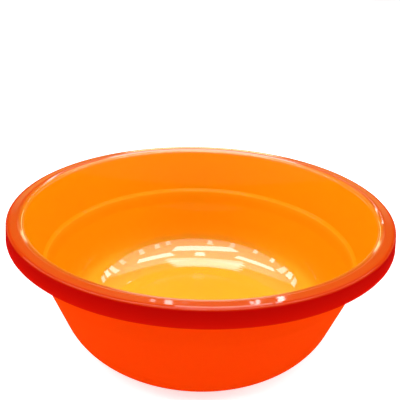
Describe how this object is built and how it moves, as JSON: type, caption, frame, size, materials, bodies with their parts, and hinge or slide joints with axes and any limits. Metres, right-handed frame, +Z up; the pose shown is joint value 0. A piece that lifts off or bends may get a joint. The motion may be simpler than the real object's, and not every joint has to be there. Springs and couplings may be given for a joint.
{
  "type": "plastic basin",
  "caption": "Round washing-up basin moulded in one piece, with a leaning wall, a ridge inside, a crowned flange and a hanging skirt.",
  "frame": {"origin": "middle of the foot's underside, on the surface the basin stands on", "axes": "+Z up along the basin's axis, out of its mouth; the basin is round, so X and Y are alike"},
  "size_m": [0.36, 0.36, 0.137],
  "materials": {
    "orange_plastic": "smooth glossy translucent orange plastic, moulded right through"
  },
  "bodies": {
    "root": {"basin": "orange_plastic"}
  },
  "joints": []
}
